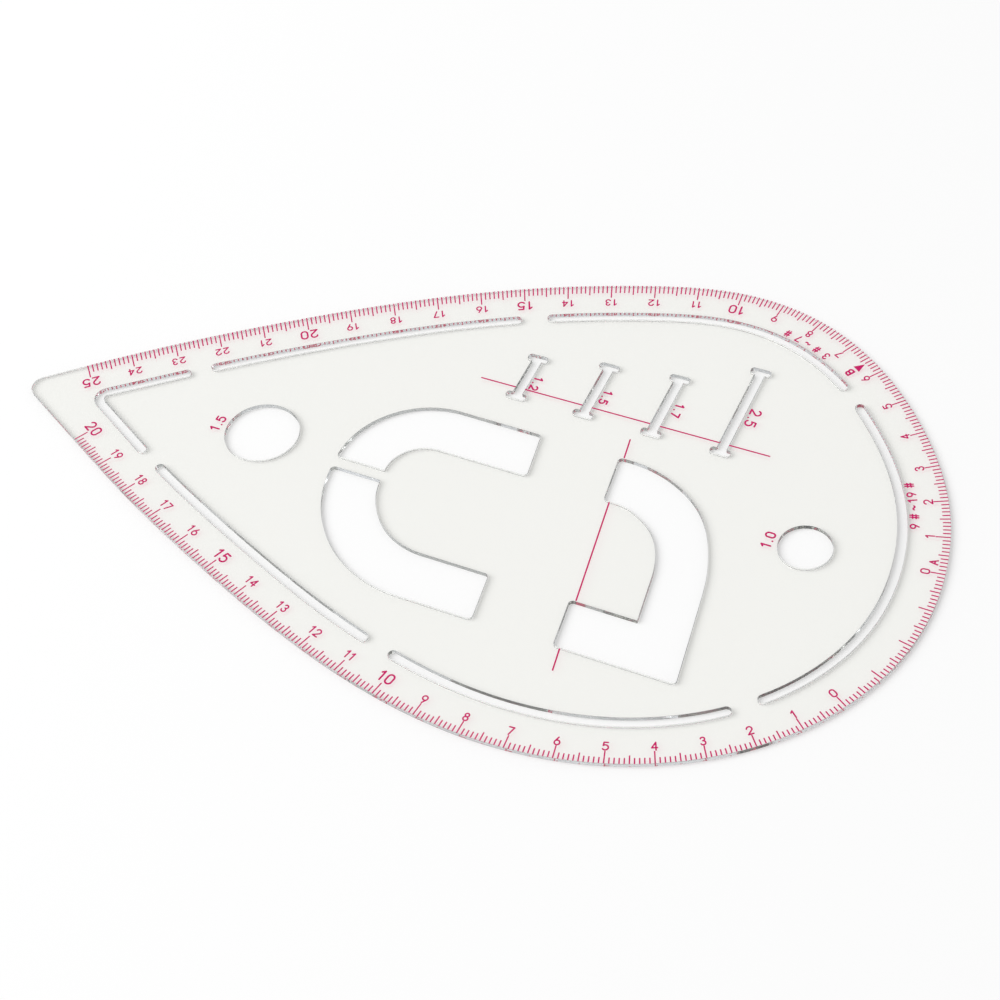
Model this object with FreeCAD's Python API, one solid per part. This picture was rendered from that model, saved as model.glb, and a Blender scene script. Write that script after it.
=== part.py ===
import FreeCAD, Part
import math
import os

# French curve: a flat teardrop ruler laser cut from clear acrylic, with printed scales.
# Top view: +X runs from the pointed tip to the round end, +Y to the long-scale edge, +Z up.
# The underside lies on z = 0. Sketch coordinates below are turned into the part frame by
# centre_shift, which puts the middle of the overall length and width on the origin.

V = FreeCAD.Vector
UP = V(0, 0, 1)

# ---- sheet -------------------------------------------------------------------------------
THICKNESS = 1.0
TIP_RADIUS = 3.0
CORNER_RADIUS = 0.9

# ---- print -------------------------------------------------------------------------------
# The scales were printed before the outline was cut. The cut landed a little off them, so every
# mark along the edge sits PRINT_DRIFT away from its nominal place.
INK_THICKNESS = 0.03
EDGE_MARGIN = 0.05
PRINT_DRIFT = V(0.37, -0.38, 0)
LINE_WIDTH = 0.33
TICK_WIDTH = 0.28
MM_TICK = 1.9
HALF_TICK = 2.5
CM_TICK = 3.4
NUMERAL_INSET = 4.5
WIDE_NUMERAL_INSET = 4.95
NUMERAL_HEIGHT = 2.1
MAJOR_HEIGHT = 2.7
NUMERAL_STROKE = 0.32
MAJOR_STROKE = 0.4

# ---- printed scales, millimetres along the edge ----------------------------------------------
LONG_SCALE = 250
LINK_LENGTH = 40
SHORT_SCALE = 200
FIRST_TICK = 10.15

# ---- outline: from the tip over the long-scale edge, round end, back along the short scale -----
TIP_POINT = V(-114.87, -4.19, 0)
OUTLINE_POINTS = [
    V(-104.07, 5.42, 0),
    V(-64.62, 36.40, 0),
    V(-22.02, 62.32, 0),
    V(5.68, 73.73, 0),
    V(25.15, 78.37, 0),
    V(44.91, 76.20, 0),
    V(62.42, 66.90, 0),
    V(76.80, 52.93, 0),
    V(87.66, 36.18, 0),
    V(93.22, 17.19, 0),
    V(92.81, -2.62, 0),
    V(85.71, -21.05, 0),
    V(72.95, -36.28, 0),
    V(46.96, -50.78, 0),
    V(17.43, -54.70, 0),
    V(-11.99, -49.99, 0),
    V(-49.52, -36.57, 0),
    V(-76.73, -24.35, 0),
    V(-94.49, -15.08, 0),
]

# ---- edge slots: first and last scale millimetre and inset of the centre line from the edge ------
SLOT_WIDTH = 2.05
EDGE_SLOTS = [
    (28.0, 98.2, 9.85),
    (106.5, 189.7, 9.85),
    (198.2, 304.1, 9.95),
    (313.1, 392.2, 9.8),
    (400.7, 469.6, 9.75),
]
CORNER_SLOT_BEND = V(-97.97, -1.82, 0)
CORNER_SLOT_ENDS = [V(-81.7, 11.3, 0), V(-79.4, -12.0, 0)]
CORNER_SLOT_RADIUS = 2.0

# ---- I-shaped slots on the base line ---------------------------------------------------------
I_SLOT_PITCH = 15.97
I_SLOT_FIRST = V(-9.7, 31.3, 0)
I_SLOT_TURN = 0.6
I_SLOT_DISTANCES = (12.0, 15.0, 17.0, 25.0)
I_SLOT_STEM = 2.2
I_SLOT_BAR = (4.6, 1.7)
BASE_LINE = (V(-19.2, 33.5, 0), V(48.7, 34.25, 0))

# ---- round holes -------------------------------------------------------------------------------
ROUND_HOLES = [(V(-57.0, 1.6, 0), 8.2), (V(64.3, 13.5, 0), 5.75)]

# ---- letters along the edge: millimetres before the long-scale zero, inset, height, stroke -------
LETTER_A = (2.75, 3.15, 2.0, 0.34)
LETTER_B = (63.85, 6.2, 2.2, 0.44)
TRIANGLE_CORNERS = [(63.8, 2.1), (64.8, 4.5), (62.7, 4.5)]

# size ranges, each character at its own scale millimetre
SIZE_HEIGHT = 2.1
SIZE_STROKE = 0.34
SIZE_RANGES = [
    (7.1, [("3", 178.3), ("#", 175.0), ("~", 171.9), ("7", 168.9), ("#", 165.6)]),
    (7.7, [("9", 237.3), ("#", 234.3), ("~", 231.6), ("1", 229.3), ("9", 227.4), ("#", 224.5)]),
]

# ---- numerals beside the cut-outs: text, middle, height ------------------------------------------
CUTOUT_STROKE = 0.4
SLOT_LABELS = [
    ("1.2", V(-7.0, 36.0, 0), 2.2),
    ("1.5", V(9.0, 37.6, 0), 2.2),
    ("1.7", V(25.2, 39.5, 0), 2.2),
    ("2.5", V(41.3, 43.3, 0), 2.7),
]
HOLE_LABELS = [("1.5", V(-67.4, 0.5, 0), 2.4), ("1.0", V(56.5, 12.6, 0), 2.4)]

# ---- centre axis of the D-shaped cut-out, broken where the cut-out crosses it -----------------------
AXIS_PIECES = [
    (V(18.9, 28.2, 0), V(19.78, 22.75, 0)),
    (V(21.75, 10.2, 0), V(25.92, -16.45, 0)),
    (V(27.78, -28.7, 0), V(28.7, -34.2, 0)),
]


def line(start, end):
    return Part.makeLine(start, end)


def arc(start, middle, end):
    return Part.Arc(start, middle, end).toShape()


def smooth(points, start_direction, end_direction):
    curve = Part.BSplineCurve()
    curve.interpolate(Points=points, InitialTangent=start_direction, FinalTangent=end_direction)
    return curve


def heading(degrees):
    return V(math.cos(math.radians(degrees)), math.sin(math.radians(degrees)), 0)


def prism(edges, bottom, height):
    face = Part.Face(Part.Wire(Part.__sortEdges__(edges)))
    face.translate(UP * bottom)
    return face.extrude(UP * height)


def round_corners(solid, corners, radius):
    chosen = []
    for edge in solid.Edges:
        low, high = edge.BoundBox.ZMin, edge.BoundBox.ZMax
        flat = V(edge.BoundBox.Center.x, edge.BoundBox.Center.y, 0)
        if high - low > 0.5 and min(flat.distanceToPoint(c) for c in corners) < 0.4:
            chosen.append(edge)
    return solid.makeFillet(radius, chosen)


# ---- outline -------------------------------------------------------------------------------
first, last = OUTLINE_POINTS[0], OUTLINE_POINTS[-1]
to_first = (first - TIP_POINT).normalize()
to_last = (last - TIP_POINT).normalize()
half_angle = to_first.getAngle(to_last) / 2
tangent_length = TIP_RADIUS / math.tan(half_angle)
tip_start = TIP_POINT + to_first * tangent_length
tip_end = TIP_POINT + to_last * tangent_length
bisector = (to_first + to_last).normalize()
tip_middle = TIP_POINT + bisector * (TIP_RADIUS / math.sin(half_angle) - TIP_RADIUS)
edge_curve = smooth([tip_start] + OUTLINE_POINTS + [tip_end], to_first, to_last * -1)
outline_edges = [edge_curve.toShape(), arc(tip_end, tip_middle, tip_start)]

outline_box = Part.Wire(outline_edges).BoundBox
centre_shift = V(-outline_box.Center.x, -outline_box.Center.y, 0)


def station(distance, inset=0.0):
    # point on the edge at a distance along it, moved inwards, and the inward direction
    parameter = edge_curve.parameterAtDistance(distance, edge_curve.FirstParameter)
    along = edge_curve.tangent(parameter)[0].normalize()
    inward = V(along.y, -along.x, 0)
    return edge_curve.value(parameter) + inward * inset, inward


def print_station(distance, inset):
    # where a mark meant for that distance and inset really lies
    place, inward = station(distance, inset)
    return place + PRINT_DRIFT, inward


# ---- sheet with its cut-outs ---------------------------------------------------------------------
plate = prism(outline_edges, 0, THICKNESS)
cutters = []


def edge_slot(start, end, inset):
    count = 9
    sides = ([], [])
    for step in range(count):
        distance = FIRST_TICK + start + (end - start) * step / (count - 1)
        sides[0].append(station(distance, inset - SLOT_WIDTH / 2)[0])
        sides[1].append(station(distance, inset + SLOT_WIDTH / 2)[0])
    ends = []
    for step in (0, -1):
        outer, inner = sides[0][step], sides[1][step]
        across = (inner - outer).normalize()
        outwards = V(-across.y, across.x, 0) * (-1 if step == 0 else 1)
        ends.append(arc(outer, (outer + inner) * 0.5 + outwards * (SLOT_WIDTH / 2), inner))
    edges = ends
    for side in sides:
        curve = Part.BSplineCurve()
        curve.interpolate(side)
        edges.append(curve.toShape())
    return prism(edges, -1, THICKNESS + 2)


def round_ended(start, end, width):
    along = (end - start).normalize()
    side = V(-along.y, along.x, 0) * (width / 2)
    cap = along * (width / 2)
    return [
        line(start + side, end + side),
        arc(end + side, end + cap, end - side),
        line(end - side, start - side),
        arc(start - side, start - cap, start + side),
    ]


for slot in EDGE_SLOTS:
    cutters.append(edge_slot(*slot))

# corner slot: two arms that meet in a rounded bend near the tip
arm_a = (CORNER_SLOT_ENDS[0] - CORNER_SLOT_BEND).normalize()
arm_b = (CORNER_SLOT_ENDS[1] - CORNER_SLOT_BEND).normalize()
side_a = V(-arm_a.y, arm_a.x, 0) * (SLOT_WIDTH / 2)
side_b = V(arm_b.y, -arm_b.x, 0) * (SLOT_WIDTH / 2)
reach = SLOT_WIDTH / 2 / math.sin(arm_a.getAngle(arm_b) / 2)
bend_axis = (arm_a + arm_b).normalize()
bend_outer = CORNER_SLOT_BEND - bend_axis * reach
bend_inner = CORNER_SLOT_BEND + bend_axis * reach
end_a, end_b = CORNER_SLOT_ENDS
corner_slot = prism(
    [
        line(bend_outer, end_a + side_a),
        arc(end_a + side_a, end_a + arm_a * (SLOT_WIDTH / 2), end_a - side_a),
        line(end_a - side_a, bend_inner),
        line(bend_inner, end_b - side_b),
        arc(end_b - side_b, end_b + arm_b * (SLOT_WIDTH / 2), end_b + side_b),
        line(end_b + side_b, bend_outer),
    ],
    -1,
    THICKNESS + 2,
)
corner_slot = round_corners(corner_slot, [bend_inner], CORNER_SLOT_RADIUS - SLOT_WIDTH / 2)
corner_slot = round_corners(corner_slot, [bend_outer], CORNER_SLOT_RADIUS + SLOT_WIDTH / 2)
cutters.append(corner_slot)

for centre, radius in ROUND_HOLES:
    cutters.append(Part.makeCylinder(radius, THICKNESS + 2, centre - UP, UP))


def i_slot(foot, distance):
    # stem between two bars with rounded corners, measured bar centre to bar centre
    bar_length, bar_height = I_SLOT_BAR
    stem = Part.makeBox(I_SLOT_STEM, distance, THICKNESS + 2, V(-I_SLOT_STEM / 2, 0, -1))
    shape = stem
    for level in (0, distance):
        corner = V(-bar_length / 2, level - bar_height / 2, -1)
        bar = Part.makeBox(bar_length, bar_height, THICKNESS + 2, corner)
        uprights = [e for e in bar.Edges if e.BoundBox.ZLength > 1]
        shape = shape.fuse(bar.makeFillet(bar_height * 0.42, uprights))
    shape = shape.removeSplitter()
    shape.Placement = FreeCAD.Placement(foot, FreeCAD.Rotation(UP, I_SLOT_TURN))
    return shape


for index, distance in enumerate(I_SLOT_DISTANCES):
    offset = heading(I_SLOT_TURN) * (I_SLOT_PITCH * index)
    cutters.append(i_slot(I_SLOT_FIRST + offset, distance))

# armhole curve, arm on the long-scale side
top, inner_top = 22.48, 10.72
corners = [V(0.34, top, 0), V(2.30, inner_top, 0), V(-38.42, 1.35, 0)]
upper_arm = prism(
    [
        line(V(-18.8, top, 0), corners[0]),
        line(corners[0], corners[1]),
        line(corners[1], V(-18.6, inner_top, 0)),
        arc(V(-18.6, inner_top, 0), V(-24.5, 8.27, 0), V(-26.9, 1.35, 0)),
        line(V(-26.9, 1.35, 0), corners[2]),
        arc(corners[2], V(-32.64, 16.78, 0), V(-18.8, top, 0)),
    ],
    -1,
    THICKNESS + 2,
)
cutters.append(round_corners(upper_arm, corners, CORNER_RADIUS))

# armhole curve, arm on the short-scale side
inner_low, low = -16.62, -28.43
corners = [V(6.29, inner_low, 0), V(7.97, low, 0), V(-38.04, -1.6, 0)]
lower_arm = prism(
    [
        line(V(-9.4, inner_low, 0), corners[0]),
        line(corners[0], corners[1]),
        line(corners[1], V(-8.8, low, 0)),
        arc(V(-8.8, low, 0), V(-30.4, -18.95, 0), corners[2]),
        line(corners[2], V(-26.5, -1.6, 0)),
        arc(V(-26.5, -1.6, 0), V(-21.6, -11.45, 0), V(-9.4, inner_low, 0)),
    ],
    -1,
    THICKNESS + 2,
)
cutters.append(round_corners(lower_arm, corners, CORNER_RADIUS))

# D-shaped cut-out around the curved tongue
outer_curve = smooth(
    [V(21.0, 22.55, 0), V(33.0, 19.75, 0), V(41.93, 12.67, 0), V(47.13, 2.42, 0), V(50.2, -12.4, 0)],
    V(1, 0, 0),
    heading(-81.4),
)
tongue_curve = smooth(
    [V(37.85, -5.0, 0), V(35.93, 1.38, 0), V(32.31, 6.43, 0), V(27.03, 9.6, 0), V(21.8, 10.45, 0)],
    heading(98.0),
    V(-1, 0, 0),
)
corners = [
    V(18.74, 22.55, 0),
    V(20.37, 10.45, 0),
    V(52.65, -28.45, 0),
    V(26.16, -28.45, 0),
    V(24.6, -16.64, 0),
]
tongue_corner = V(39.5, -16.64, 0)
d_cutout = prism(
    [
        line(corners[0], V(21.0, 22.55, 0)),
        outer_curve.toShape(),
        line(V(50.2, -12.4, 0), corners[2]),
        line(corners[2], corners[3]),
        line(corners[3], corners[4]),
        line(corners[4], tongue_corner),
        line(tongue_corner, V(37.85, -5.0, 0)),
        tongue_curve.toShape(),
        line(V(21.8, 10.45, 0), corners[1]),
        line(corners[1], corners[0]),
    ],
    -1,
    THICKNESS + 2,
)
cutters.append(round_corners(d_cutout, corners, CORNER_RADIUS))

plate = plate.cut(Part.makeCompound(cutters))

# ---- printed marks -----------------------------------------------------------------------------


def printed(edges):
    return prism(edges, THICKNESS, INK_THICKNESS)


def bar_mark(start, end, width):
    along = (end - start).normalize()
    side = V(-along.y, along.x, 0) * (width / 2)
    ring = [start + side, end + side, end - side, start - side]
    return printed([line(ring[i - 1], ring[i]) for i in range(4)])


def ticks(first_distance, count, wanted):
    # one bar per millimetre, from the edge inwards, kept when wanted(index) gives its length
    marks = []
    for index in range(count):
        length = wanted(index)
        if length:
            head, inward = print_station(first_distance + index, length)
            slip = PRINT_DRIFT.dot(V(-inward.y, inward.x, 0))
            foot = station(first_distance + index + slip, EDGE_MARGIN)[0]
            marks.append(bar_mark(foot, head, TICK_WIDTH))
    return Part.makeCompound(marks)


def only_mm(index):
    return MM_TICK if index % 5 else 0


def only_half(index):
    return HALF_TICK if index % 10 == 5 else 0


def only_cm(index):
    return CM_TICK if index % 10 == 0 else 0


# Stroke glyphs on a centre-line box 0.6 wide and 1 high. A stroke is either a line
# (x0, y0, x1, y1) or an arc (x, y, radius, first angle, last angle).
CIRCLE_LOW = (0.3, 0.3, 0.3, 0, 360)
GLYPHS = {
    "0": [(0.3, 0.7, 0.3, 0, 180), (0.3, 0.3, 0.3, 180, 360), (0, 0.3, 0, 0.7), (0.6, 0.3, 0.6, 0.7)],
    "1": [(0.36, 0, 0.36, 1), (0.36, 1, 0.12, 0.78)],
    "2": [(0.3, 0.7, 0.3, -35, 165), (0.546, 0.528, 0, 0), (0, 0, 0.6, 0)],
    "3": [(0.3, 0.77, 0.23, -90, 160), (0.3, 0.27, 0.27, -160, 90)],
    "4": [(0.46, 0, 0.46, 1), (0.46, 1, 0, 0.3), (0, 0.3, 0.62, 0.3)],
    "5": [(0.55, 1, 0.1, 1), (0.1, 1, 0.05, 0.57), (0.28, 0.332, 0.332, -145, 134)],
    "6": [CIRCLE_LOW, (0.04, 0.45, 0.357, 1)],
    "7": [(0, 1, 0.58, 1), (0.58, 1, 0.2, 0)],
    "8": [(0.3, 0.27, 0.27, 0, 360), (0.3, 0.77, 0.23, 0, 360)],
    "9": [(0.3, 0.7, 0.3, 0, 360), (0.56, 0.55, 0.243, 0)],
    "A": [(0, 0, 0.33, 1), (0.33, 1, 0.66, 0), (0.12, 0.36, 0.54, 0.36)],
    "B": [
        (0, 0, 0, 1),
        (0, 1, 0.32, 1),
        (0.32, 0.77, 0.23, -90, 90),
        (0.32, 0.54, 0, 0.54),
        (0.32, 0.27, 0.27, -90, 90),
        (0.32, 0, 0, 0),
    ],
    "#": [(0.12, 0, 0.24, 1), (0.42, 0, 0.54, 1), (0, 0.3, 0.6, 0.3), (0.04, 0.7, 0.64, 0.7)],
    "~": [(0.17, 0.38, 0.17, 20, 160), (0.47, 0.5, 0.17, 200, 340)],
    ".": [(0.12, 0.03, 0.13, 0.03)],
}
ADVANCE = {"1": 0.36, ".": 0.12}
glyph_store = {}


def stroke_solid(stroke, scale, width):
    if len(stroke) == 4:
        start = V(stroke[0], stroke[1], 0) * scale
        end = V(stroke[2], stroke[3], 0) * scale
        return printed(round_ended(start, end, width))
    centre = V(stroke[0], stroke[1], 0) * scale
    radius, first_angle, last_angle = stroke[2] * scale, stroke[3], stroke[4]
    outer, inner = radius + width / 2, radius - width / 2
    base = centre + UP * THICKNESS
    if last_angle - first_angle == 360:
        ring = Part.makeCylinder(outer, INK_THICKNESS, base)
        return ring.cut(Part.makeCylinder(inner, INK_THICKNESS, base))
    middle_angle = (first_angle + last_angle) / 2
    start, middle, end = heading(first_angle), heading(middle_angle), heading(last_angle)
    start_cap = heading(first_angle - 90) * (width / 2)
    end_cap = heading(last_angle + 90) * (width / 2)
    return printed(
        [
            arc(centre + start * outer, centre + middle * outer, centre + end * outer),
            arc(centre + end * outer, centre + end * radius + end_cap, centre + end * inner),
            arc(centre + end * inner, centre + middle * inner, centre + start * inner),
            arc(centre + start * inner, centre + start * radius + start_cap, centre + start * outer),
        ]
    )


def glyph(character, height, width):
    key = (character, height, width)
    if key not in glyph_store:
        parts = [stroke_solid(stroke, height - width, width) for stroke in GLYPHS[character]]
        shape = parts[0].multiFuse(parts[1:]) if len(parts) > 1 else parts[0]
        glyph_store[key] = shape.removeSplitter()
    return glyph_store[key].copy()


def lettering(text, centre, up_direction, height, width):
    # text centred on a point, its upright direction given
    scale = height - width
    gap = width * 2.1
    lengths = [ADVANCE.get(character, 0.6) * scale for character in text]
    cursor = -(sum(lengths) + gap * (len(text) - 1)) / 2
    turn = math.degrees(math.atan2(up_direction.y, up_direction.x)) - 90
    marks = []
    for character, length in zip(text, lengths):
        shape = glyph(character, height, width)
        shift = 0.12 * scale if character == "1" else 0
        shape.translate(V(cursor - shift, -scale / 2, 0))
        shape.rotate(V(0, 0, 0), UP, turn)
        shape.translate(centre)
        marks.append(shape)
        cursor += length + gap
    return marks


def edge_numeral(number, distance):
    inset = WIDE_NUMERAL_INSET if number >= 10 else NUMERAL_INSET
    centre, inward = print_station(distance, inset)
    if number >= 10 and number % 5 == 0:
        return lettering(str(number), centre, inward, MAJOR_HEIGHT, MAJOR_STROKE)
    return lettering(str(number), centre, inward, NUMERAL_HEIGHT, NUMERAL_STROKE)


link_start = FIRST_TICK + LONG_SCALE
short_start = link_start + LINK_LENGTH
long_numerals = []
for number in range(LONG_SCALE // 10 + 1):
    long_numerals += edge_numeral(number, link_start - 10 * number)
short_numerals = []
for number in range(SHORT_SCALE // 10 + 1):
    short_numerals += edge_numeral(number, short_start + 10 * number)


def edge_letter(character, before_zero, inset, height, stroke):
    centre, inward = print_station(link_start - before_zero, inset)
    return lettering(character, centre, inward, height, stroke)


# point A next to the long-scale zero, point B and its triangle near the 6
letter_a = edge_letter("A", *LETTER_A)
letter_b = edge_letter("B", *LETTER_B)
triangle = [print_station(link_start - before, inset)[0] for before, inset in TRIANGLE_CORNERS]
triangle_mark = printed([line(triangle[i - 1], triangle[i]) for i in range(3)])

size_labels = []
for inset, characters in SIZE_RANGES:
    for character, distance in characters:
        centre, inward = print_station(FIRST_TICK + distance, inset)
        size_labels += lettering(character, centre, inward, SIZE_HEIGHT, SIZE_STROKE)

# base line under the I-shaped slots, broken where it meets them
base_start, base_end = BASE_LINE
base_along = (base_end - base_start).normalize()
clear = I_SLOT_STEM / 2 + EDGE_MARGIN
base_marks = []
piece_start = base_start
for index in range(len(I_SLOT_DISTANCES)):
    slot_x = I_SLOT_FIRST.x + I_SLOT_PITCH * index
    reach = slot_x - base_start.x
    base_marks.append(bar_mark(piece_start, base_start + base_along * (reach - clear), LINE_WIDTH))
    piece_start = base_start + base_along * (reach + clear)
base_marks.append(bar_mark(piece_start, base_end, LINE_WIDTH))

# slot lengths in centimetres, reading towards the base line
slot_numerals = []
for text, place, height in SLOT_LABELS:
    slot_numerals += lettering(text, place, V(1, 0, 0), height, CUTOUT_STROKE)

# diameter in centimetres of the circle a pencil point draws in each round hole
circle_numerals = []
for text, place, height in HOLE_LABELS:
    circle_numerals += lettering(text, place, V(-1, 0, 0), height, CUTOUT_STROKE)

axis_marks = [bar_mark(start, end, LINE_WIDTH) for start, end in AXIS_PIECES]

# ---- export ------------------------------------------------------------------------------------
nodes = {
    "plate": plate,
    "long_scale_mm_ticks": ticks(FIRST_TICK, LONG_SCALE, only_mm),
    "long_scale_half_ticks": ticks(FIRST_TICK, LONG_SCALE, only_half),
    "long_scale_cm_ticks": ticks(FIRST_TICK, LONG_SCALE + 1, only_cm),
    "long_scale_numerals": Part.makeCompound(long_numerals),
    "link_mm_ticks": ticks(link_start, LINK_LENGTH, only_mm),
    "link_half_ticks": ticks(link_start, LINK_LENGTH, only_half),
    "link_cm_ticks": ticks(link_start + 10, LINK_LENGTH - 10, only_cm),
    "short_scale_mm_ticks": ticks(short_start, SHORT_SCALE, only_mm),
    "short_scale_half_ticks": ticks(short_start, SHORT_SCALE, only_half),
    "short_scale_cm_ticks": ticks(short_start, SHORT_SCALE + 1, only_cm),
    "short_scale_numerals": Part.makeCompound(short_numerals),
    "point_a_letter": Part.makeCompound(letter_a),
    "point_b_letter": Part.makeCompound(letter_b),
    "point_b_triangle": triangle_mark,
    "size_range_labels": Part.makeCompound(size_labels),
    "slot_baseline": Part.makeCompound(base_marks),
    "slot_numerals": Part.makeCompound(slot_numerals),
    "curve_axis_line": Part.makeCompound(axis_marks),
    "circle_numerals": Part.makeCompound(circle_numerals),
}
for name, shape in nodes.items():
    shape.translate(centre_shift)
    shape.exportStep("parts/" + name + ".step")
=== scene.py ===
import math

import bmesh
import bpy
from mathutils import Matrix, Vector
from mathutils.geometry import tessellate_polygon


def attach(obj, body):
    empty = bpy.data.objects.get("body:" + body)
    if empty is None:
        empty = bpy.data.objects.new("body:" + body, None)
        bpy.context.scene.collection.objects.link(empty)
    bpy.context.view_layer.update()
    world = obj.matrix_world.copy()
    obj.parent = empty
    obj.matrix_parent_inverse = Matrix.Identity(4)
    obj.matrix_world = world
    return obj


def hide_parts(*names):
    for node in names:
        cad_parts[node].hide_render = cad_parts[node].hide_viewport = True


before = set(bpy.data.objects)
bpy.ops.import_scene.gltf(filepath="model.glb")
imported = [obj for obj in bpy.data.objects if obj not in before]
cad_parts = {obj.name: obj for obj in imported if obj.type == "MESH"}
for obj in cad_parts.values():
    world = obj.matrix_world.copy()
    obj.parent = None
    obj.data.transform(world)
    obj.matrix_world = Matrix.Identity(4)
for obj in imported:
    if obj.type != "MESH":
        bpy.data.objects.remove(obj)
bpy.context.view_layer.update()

scene = bpy.context.scene
MM = 0.001

# ---- camera: three-quarter view from above the short-scale side ----------------------------------
AZIMUTH = 26.5
ELEVATION = 49.1
ROLL = -4.2
LENS = 83.23
SENSOR_WIDTH = 36.0
SHIFT = -0.114
NEAREST = 0.01
FARTHEST = 20.0
CAMERA_AT = (0.17368, -0.28551, 0.36830)

# ---- plate -----------------------------------------------------------------------------------------
# the sheet reaches a hair into the ink on it, so that the print reads through the sheet
INK_OVERLAP = 0.01 * MM
BEVEL = 0.08 * MM
TOP_BEVEL_ANGLES = (90.0, 67.5, 45.0, 22.5, 0.0)
BOTTOM_BEVEL_ANGLES = (0.0, -45.0, -90.0)
CORNER = 0.12 * MM
CORNER_STEPS = 6
STEP = 0.7 * MM
SHARP = math.radians(30)
# a span this many times as long as its neighbour is a straight run, and stays straight
LONG_SPAN = 3
SAME_POINT = 1e-7
SAME_HEIGHT = 1e-6
FACE_SLOT = 0
WALL_SLOT = 1

# ---- acrylic and ink; grains are counted per metre along each axis -----------------------------------
ACRYLIC_IOR = 1.49
BODY_TINT = (0.50, 0.50, 0.44, 1.0)
BODY_DENSITY = 34.0
FACE_TINT = (0.988, 0.988, 0.966, 1.0)
FACE_LETS_THROUGH = (0.992, 0.992, 0.988, 1.0)
HAZE_GRAIN = (45.0, 45.0, 45.0)
HAZE_ROUGHNESS = (0.004, 0.03)
HAIRLINE_GRAIN = (90.0, 4200.0, 1.0)
HAIRLINE_ROUGHNESS = (0.0, 0.16)
WALL_CLARITY = 0.90
WALL_LETS_THROUGH = (0.94, 0.94, 0.93, 1.0)
WALL_DARK = (0.76, 0.78, 0.82, 1.0)
WALL_LIGHT = (0.90, 0.92, 0.95, 1.0)
RIPPLE_GRAIN = (1400.0, 1400.0, 120.0)
RIPPLE_ROUGHNESS = (0.02, 0.07)
INK_DARK = (0.46, 0.002, 0.085, 1.0)
INK_LIGHT = (0.62, 0.010, 0.16, 1.0)
# painted glow: the ink's underside is a brighter crimson, standing in for light from above shining
# through the film
INK_UNDERSIDE_PAINTED_GLOW = (0.95, 0.03, 0.14, 1.0)
INK_LETS_THROUGH = (0.95, 0.80, 0.85, 1.0)
INK_SHEEN = 0.15
SPECKLE_GRAIN = (2600.0, 2600.0, 2600.0)
SPECKLE_ROUGHNESS = (0.42, 0.62)

# ---- table, lamp and sky ---------------------------------------------------------------------------
TABLE_GAP = 0.05 * MM
TABLE_HALF = 3.0
TABLE_COLOUR = (0.9, 0.9, 0.9, 1.0)
WINDOW_AT = (-1.60, -0.60, 1.80)
WINDOW_SIZE = 2.0
WINDOW_POWER = 26.0
SKY_COLOUR = (1.0, 1.0, 1.0, 1.0)
SKY_STRENGTH = 0.84

# light guided along inside the sheet turns back many times before it leaves through a cut wall
GUIDED_BOUNCES = 96
OPEN_BOUNCES = 24


def set_camera():
    data = bpy.data.cameras.new("camera")
    data.lens = LENS
    data.sensor_width = SENSOR_WIDTH
    data.shift_x = SHIFT
    data.clip_start = NEAREST
    data.clip_end = FARTHEST
    camera = bpy.data.objects.new("camera", data)
    scene.collection.objects.link(camera)
    turn = Matrix.Rotation(math.radians(AZIMUTH), 4, "Z")
    tilt = Matrix.Rotation(math.radians(90.0 - ELEVATION), 4, "X")
    roll = Matrix.Rotation(math.radians(ROLL), 4, "Z")
    camera.matrix_world = Matrix.Translation(CAMERA_AT) @ turn @ tilt @ roll
    scene.camera = camera


# ---- plate mesh, from the outlines of the CAD plate ------------------------------------------------
def rim_loops(mesh):
    """The closed loops where the top face meets the walls, material side on the left."""
    work = bmesh.new()
    work.from_mesh(mesh)
    bmesh.ops.remove_doubles(work, verts=work.verts, dist=SAME_POINT)
    top = max(v.co.z for v in work.verts)
    following = {}
    for edge in work.edges:
        if any(abs(v.co.z - top) > SAME_HEIGHT for v in edge.verts):
            continue
        flat = [f for f in edge.link_faces if f.normal.z > 0.9]
        if len(flat) != 1:
            continue
        for loop in flat[0].loops:
            if loop.edge == edge:
                following[loop.vert.index] = loop.link_loop_next.vert.index
    places = {v.index: Vector((v.co.x, v.co.y)) for v in work.verts}
    loops = []
    while following:
        start, here = following.popitem()
        ring = [places[start]]
        while here != start:
            ring.append(places[here])
            here = following.pop(here)
        loops.append(ring)
    work.free()
    return loops


def turning(a, b):
    """The signed angle from direction a to direction b."""
    return math.atan2(a.x * b.y - a.y * b.x, a.dot(b))


def soft_corners(ring):
    """Each sharp corner becomes a small arc, so that it catches light as a cut corner does."""
    out = []
    for i, here in enumerate(ring):
        before, after = ring[i - 1], ring[(i + 1) % len(ring)]
        if abs(turning(here - before, after - here)) < SHARP:
            out.append(here)
            continue
        start = here + (before - here).normalized() * CORNER
        end = here + (after - here).normalized() * CORNER
        for k in range(CORNER_STEPS + 1):
            t = k / CORNER_STEPS
            out.append(start * (1 - t) ** 2 + here * 2 * t * (1 - t) + end * t * t)
    return out


def tangent_share(before, after):
    """How much of the bend at a point falls on the span before it; none beside a straight run."""
    if before > LONG_SPAN * after:
        return 0.0
    if after > LONG_SPAN * before:
        return 1.0
    return before / (before + after)


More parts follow.
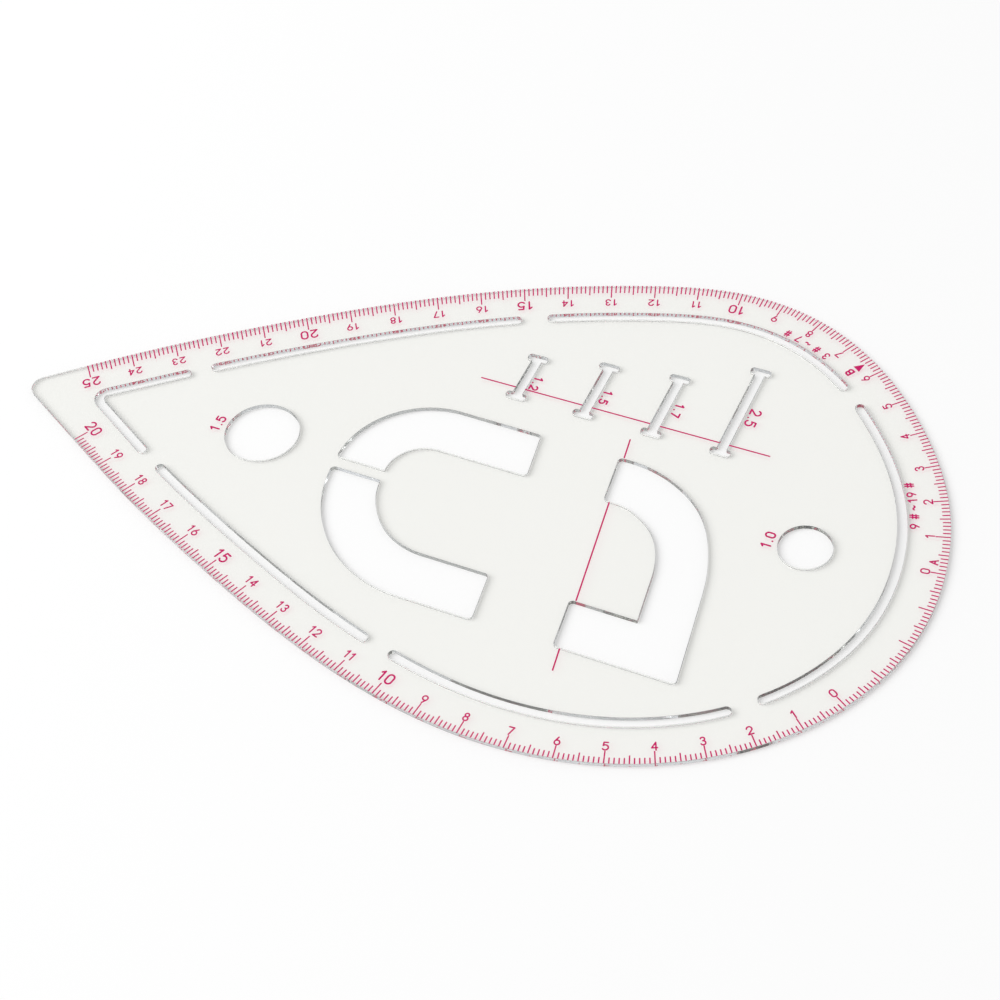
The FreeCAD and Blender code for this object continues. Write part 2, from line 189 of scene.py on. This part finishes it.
def smoothed(ring):
    """A ring through the same points with curved spans between them and short steps."""
    count = len(ring)
    spans = [ring[(i + 1) % count] - ring[i] for i in range(count)]
    tangents = []
    for i in range(count):
        before, after = spans[i - 1], spans[i]
        share = tangent_share(before.length, after.length)
        bend = turning(before, after)
        tangents.append(before.normalized() @ Matrix.Rotation(-bend * share, 2))
    out = []
    for i in range(count):
        p, q = ring[i], ring[(i + 1) % count]
        length = spans[i].length
        steps = max(1, math.ceil(length / STEP))
        leaving, arriving = tangents[i] * length, tangents[(i + 1) % count] * length
        for k in range(steps):
            t = k / steps
            out.append(
                p * (2 * t**3 - 3 * t**2 + 1)
                + leaving * (t**3 - 2 * t**2 + t)
                + q * (3 * t**2 - 2 * t**3)
                + arriving * (t**3 - t**2)
            )
    return out


def left_normals(ring):
    """Unit vectors into the material, halfway between the spans on either side of each point."""
    normals = []
    for i, here in enumerate(ring):
        along = (ring[(i + 1) % len(ring)] - here).normalized() + (here - ring[i - 1]).normalized()
        along.normalize()
        normals.append(Vector((-along.y, along.x)))
    return normals


def edge_profile(top, bottom):
    """The rounded edge from the top face to the underside, as (inset, height, outward, up)."""
    rows = []
    for centre, angles in ((top - BEVEL, TOP_BEVEL_ANGLES), (bottom + BEVEL, BOTTOM_BEVEL_ANGLES)):
        for angle in angles:
            outward, up = math.cos(math.radians(angle)), math.sin(math.radians(angle))
            rows.append((BEVEL * (1 - outward), centre + BEVEL * up, outward, up))
    return rows


def closed_sheet(rings, low, high):
    """Points, normals, faces and material slots of the sheet, kept within low and high in x and y."""
    profile = edge_profile(high.z + INK_OVERLAP, low.z)
    verts, normals, faces, slots = [], [], [], []
    top_rings, tops, bottoms = [], [], []
    for ring in rings:
        ink_or_painted_glow = left_normals(ring)
        rows = []
        for inset, height, outward, up in profile:
            row = []
            for point, side in zip(ring, ink_or_painted_glow):
                place = point + side * inset
                x = min(max(place.x, low.x), high.x)
                y = min(max(place.y, low.y), high.y)
                row.append(len(verts))
                verts.append((x, y, height))
                normals.append((-side.x * outward, -side.y * outward, up))
            rows.append(row)
        for upper, lower in zip(rows, rows[1:]):
            for i in range(len(ring)):
                j = (i + 1) % len(ring)
                faces.append((upper[j], upper[i], lower[i], lower[j]))
                slots.append(WALL_SLOT)
        top_rings.append([Vector((verts[i][0], verts[i][1], 0.0)) for i in rows[0]])
        tops += rows[0]
        bottoms += rows[-1]
    points = [point for ring in top_rings for point in ring]
    for a, b, c in tessellate_polygon(top_rings):
        if turning(points[b] - points[a], points[c] - points[a]) < 0:
            b, c = c, b
        faces.append((tops[a], tops[b], tops[c]))
        faces.append((bottoms[a], bottoms[c], bottoms[b]))
        slots += [FACE_SLOT, FACE_SLOT]
    return verts, normals, faces, slots


def build_plate(node):
    """The clear sheet, with the outline of the CAD plate in finer curves and with rounded edges."""
    rings = [smoothed(soft_corners(ring)) for ring in rim_loops(node.data)]
    low, high = Vector(node.bound_box[0]), Vector(node.bound_box[6])
    verts, normals, faces, slots = closed_sheet(rings, low, high)
    mesh = bpy.data.meshes.new("plate_glass")
    mesh.from_pydata(verts, [], faces)
    mesh.polygons.foreach_set("material_index", slots)
    mesh.polygons.foreach_set("use_smooth", [True] * len(faces))
    mesh.update()
    mesh.normals_split_custom_set_from_vertices(normals)
    piece = bpy.data.objects.new("clear_plate", mesh)
    scene.collection.objects.link(piece)
    return piece


# ---- materials -------------------------------------------------------------------------------------
def new_material(name):
    """An empty node material and its tree."""
    material = bpy.data.materials.new(name)
    material.use_nodes = True
    material.node_tree.nodes.clear()
    return material, material.node_tree


def ramp(tree, source, low, high, values):
    """A number that goes from the first value to the second as source goes from low to high."""
    made = tree.nodes.new("ShaderNodeMapRange")
    made.inputs["From Min"].default_value = low
    made.inputs["From Max"].default_value = high
    made.inputs["To Min"].default_value = values[0]
    made.inputs["To Max"].default_value = values[1]
    tree.links.new(source, made.inputs["Value"])
    return made.outputs["Result"]


def colour_ramp(tree, source, low, high, low_colour, high_colour):
    """A colour that goes from the low one to the high one as source goes from low to high."""
    made = tree.nodes.new("ShaderNodeValToRGB")
    ends = made.color_ramp.elements
    ends[0].position = low
    ends[0].color = low_colour
    ends[1].position = high
    ends[1].color = high_colour
    tree.links.new(source, made.inputs["Fac"])
    return made.outputs["Color"]


def grain(tree, per_metre, detail):
    """Noise in the piece's own coordinates, with per_metre grains along each axis."""
    coordinates = tree.nodes.new("ShaderNodeTexCoord")
    mapping = tree.nodes.new("ShaderNodeMapping")
    mapping.inputs["Scale"].default_value = per_metre
    tree.links.new(coordinates.outputs["Object"], mapping.inputs["Vector"])
    made = tree.nodes.new("ShaderNodeTexNoise")
    made.inputs["Scale"].default_value = 1.0
    made.inputs["Detail"].default_value = detail
    tree.links.new(mapping.outputs["Vector"], made.inputs["Vector"])
    return made.outputs["Fac"]


def bumped(tree, shader, source, strength, distance):
    """Small relief on the shader, as high as distance where source is 1."""
    bump = tree.nodes.new("ShaderNodeBump")
    bump.inputs["Strength"].default_value = strength
    bump.inputs["Distance"].default_value = distance
    tree.links.new(source, bump.inputs["Height"])
    tree.links.new(bump.outputs["Normal"], shader.inputs["Normal"])


def lets_light_through(tree, surface, colour):
    """Lamp light and light for the table pass straight through, dimmed to colour."""
    path = tree.nodes.new("ShaderNodeLightPath")
    clear = tree.nodes.new("ShaderNodeBsdfTransparent")
    clear.inputs["Color"].default_value = colour
    shown = surface
    for ray in ("Is Diffuse Ray", "Is Shadow Ray"):
        mix = tree.nodes.new("ShaderNodeMixShader")
        tree.links.new(path.outputs[ray], mix.inputs[0])
        tree.links.new(shown, mix.inputs[1])
        tree.links.new(clear.outputs[0], mix.inputs[2])
        shown = mix.outputs[0]
    output = tree.nodes.new("ShaderNodeOutputMaterial")
    tree.links.new(shown, output.inputs["Surface"])
    return output


def sheet_body(tree, output):
    """The sheet takes a little light along its length, so that its cut walls look grey."""
    inside = tree.nodes.new("ShaderNodeVolumeAbsorption")
    inside.inputs["Color"].default_value = BODY_TINT
    inside.inputs["Density"].default_value = BODY_DENSITY
    tree.links.new(inside.outputs[0], output.inputs["Volume"])


def acrylic_face():
    """Polished faces with handling haze: broad patches with fine hairline scratches in them."""
    material, tree = new_material("acrylic_face")
    shader = tree.nodes.new("ShaderNodeBsdfPrincipled")
    shader.inputs["Base Color"].default_value = FACE_TINT
    shader.inputs["Transmission Weight"].default_value = 1.0
    shader.inputs["IOR"].default_value = ACRYLIC_IOR
    patches = grain(tree, HAZE_GRAIN, 4.0)
    hairs = grain(tree, HAIRLINE_GRAIN, 2.0)
    rough = tree.nodes.new("ShaderNodeMath")
    rough.operation = "ADD"
    tree.links.new(ramp(tree, hairs, 0.70, 0.76, HAIRLINE_ROUGHNESS), rough.inputs[0])
    tree.links.new(ramp(tree, patches, 0.35, 0.75, HAZE_ROUGHNESS), rough.inputs[1])
    tree.links.new(rough.outputs[0], shader.inputs["Roughness"])
    bumped(tree, shader, patches, 0.05, 0.04 * MM)
    sheet_body(tree, lets_light_through(tree, shader.outputs[0], FACE_LETS_THROUGH))
    return material


def acrylic_cut():
    """The laser-cut wall: fire-polished, with fine upright ripples and a light grey frosting."""
    material, tree = new_material("acrylic_cut")
    shader = tree.nodes.new("ShaderNodeBsdfPrincipled")
    shader.inputs["Transmission Weight"].default_value = WALL_CLARITY
    shader.inputs["IOR"].default_value = ACRYLIC_IOR
    ripples = grain(tree, RIPPLE_GRAIN, 3.0)
    tone = colour_ramp(tree, ripples, 0.3, 0.7, WALL_DARK, WALL_LIGHT)
    tree.links.new(tone, shader.inputs["Base Color"])
    tree.links.new(ramp(tree, ripples, 0.3, 0.7, RIPPLE_ROUGHNESS), shader.inputs["Roughness"])
    bumped(tree, shader, ripples, 0.2, 0.01 * MM)
    sheet_body(tree, lets_light_through(tree, shader.outputs[0], WALL_LETS_THROUGH))
    return material


def printed_ink():
    """Screen-printed film, speckled; its underside carries a painted glow, a brighter crimson standing
    in for light from above shining through.
    """
    material, tree = new_material("crimson_ink")
    shader = tree.nodes.new("ShaderNodeBsdfPrincipled")
    shader.inputs["Specular IOR Level"].default_value = INK_SHEEN
    speckle = grain(tree, SPECKLE_GRAIN, 5.0)
    facing = tree.nodes.new("ShaderNodeTexCoord")
    normal = tree.nodes.new("ShaderNodeSeparateXYZ")
    tree.links.new(facing.outputs["Normal"], normal.inputs[0])
    # the normal's z is -1 on the underside, and 0 or 1 elsewhere; the underside gets the painted glow
    # colour
    painted_glow_mask = ramp(tree, normal.outputs["Z"], -0.9, -0.5, (1.0, 0.0))
    ink_or_painted_glow = tree.nodes.new("ShaderNodeMix")
    ink_or_painted_glow.data_type = "RGBA"
    tree.links.new(painted_glow_mask, ink_or_painted_glow.inputs["Factor"])
    tree.links.new(colour_ramp(tree, speckle, 0.28, 0.78, INK_DARK, INK_LIGHT), ink_or_painted_glow.inputs["A"])
    ink_or_painted_glow.inputs["B"].default_value = INK_UNDERSIDE_PAINTED_GLOW
    tree.links.new(ink_or_painted_glow.outputs["Result"], shader.inputs["Base Color"])
    tree.links.new(ramp(tree, speckle, 0.3, 0.7, SPECKLE_ROUGHNESS), shader.inputs["Roughness"])
    bumped(tree, shader, speckle, 0.4, 0.01 * MM)
    lets_light_through(tree, shader.outputs[0], INK_LETS_THROUGH)
    return material


def table_top():
    material, tree = new_material("table_top")
    shader = tree.nodes.new("ShaderNodeBsdfDiffuse")
    shader.inputs["Color"].default_value = TABLE_COLOUR
    output = tree.nodes.new("ShaderNodeOutputMaterial")
    tree.links.new(shader.outputs[0], output.inputs["Surface"])
    return material


# ---- surroundings ----------------------------------------------------------------------------------
def lay_table():
    corners = [(-1, -1), (1, -1), (1, 1), (-1, 1)]
    places = [(x * TABLE_HALF, y * TABLE_HALF, -TABLE_GAP) for x, y in corners]
    mesh = bpy.data.meshes.new("table")
    mesh.from_pydata(places, [], [(0, 1, 2, 3)])
    mesh.materials.append(table_top())
    table = bpy.data.objects.new("table", mesh)
    scene.collection.objects.link(table)


def hang_window():
    """One broad soft lamp on the left, aimed at the middle of the sheet."""
    data = bpy.data.lights.new("window", "AREA")
    data.shape = "SQUARE"
    data.size = WINDOW_SIZE
    data.energy = WINDOW_POWER
    window = bpy.data.objects.new("window", data)
    window.location = WINDOW_AT
    window.rotation_euler = (-Vector(WINDOW_AT)).to_track_quat("-Z", "Y").to_euler()
    scene.collection.objects.link(window)


def white_sky():
    world = bpy.data.worlds.new("sky")
    world.use_nodes = True
    background = world.node_tree.nodes["Background"]
    background.inputs["Color"].default_value = SKY_COLOUR
    background.inputs["Strength"].default_value = SKY_STRENGTH
    scene.world = world


set_camera()

plate = build_plate(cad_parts["plate"])
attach(plate, "root")
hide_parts("plate")
plate.data.materials.append(acrylic_face())
plate.data.materials.append(acrylic_cut())

ink = printed_ink()
for name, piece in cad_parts.items():
    if name != "plate":
        for slot in piece.material_slots:
            slot.material = ink

lay_table()
hang_window()
white_sky()

scene.view_settings.view_transform = "Standard"
scene.cycles.caustics_reflective = False
scene.cycles.caustics_refractive = False
scene.cycles.max_bounces = GUIDED_BOUNCES
scene.cycles.transmission_bounces = GUIDED_BOUNCES
scene.cycles.glossy_bounces = GUIDED_BOUNCES
scene.cycles.transparent_max_bounces = OPEN_BOUNCES
